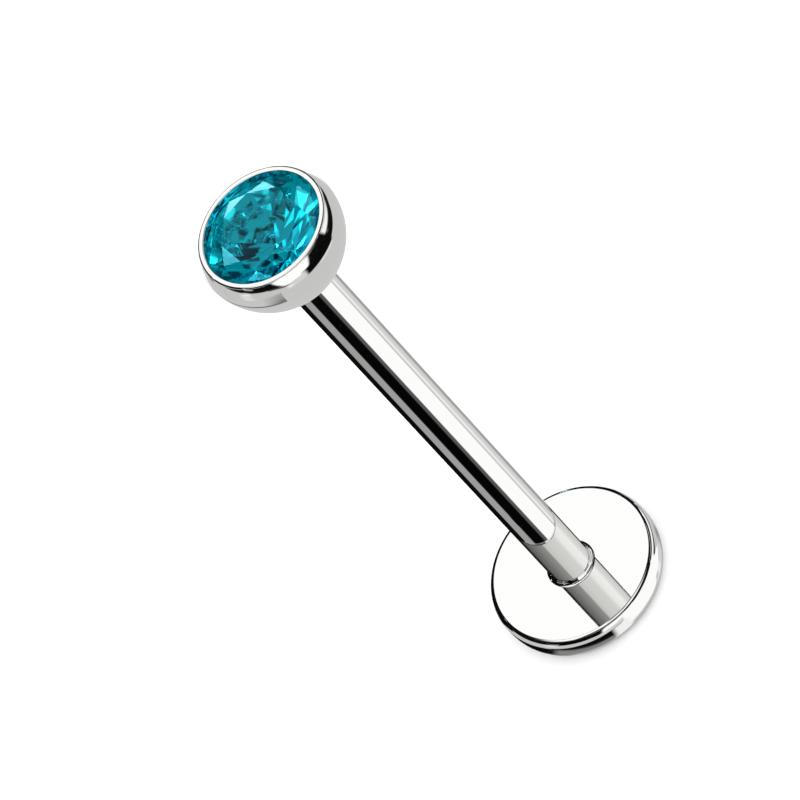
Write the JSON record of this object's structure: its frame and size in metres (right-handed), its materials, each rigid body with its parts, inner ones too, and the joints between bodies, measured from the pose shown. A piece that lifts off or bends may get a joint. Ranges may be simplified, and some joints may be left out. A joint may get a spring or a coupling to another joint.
{
  "type": "labret stud",
  "caption": "Flat-back labret stud: a round disc on a straight polished post, with a screw-on bezel cup that holds a round faceted aqua stone.",
  "frame": {"origin": "centre of the disc's flat back, which the stud stands on", "axes": "+Z along the post, from the disc to the stone; the stud is turned about Z, so X and Y only set the stone's turn"},
  "size_m": [0.0048, 0.0048, 0.0188],
  "materials": {
    "polished_steel": "mirror polished",
    "aqua_stone": "cut and polished"
  },
  "bodies": {
    "post": {"labret_post": "polished_steel"},
    "top": {"bezel_cup": "polished_steel", "gem": "aqua_stone"}
  },
  "joints": [
    {"name": "top_unscrew", "type": "slide", "parent": "post", "child": "top", "axis": [0, 0, 1], "range_m": [0, 0.0015]}
  ]
}
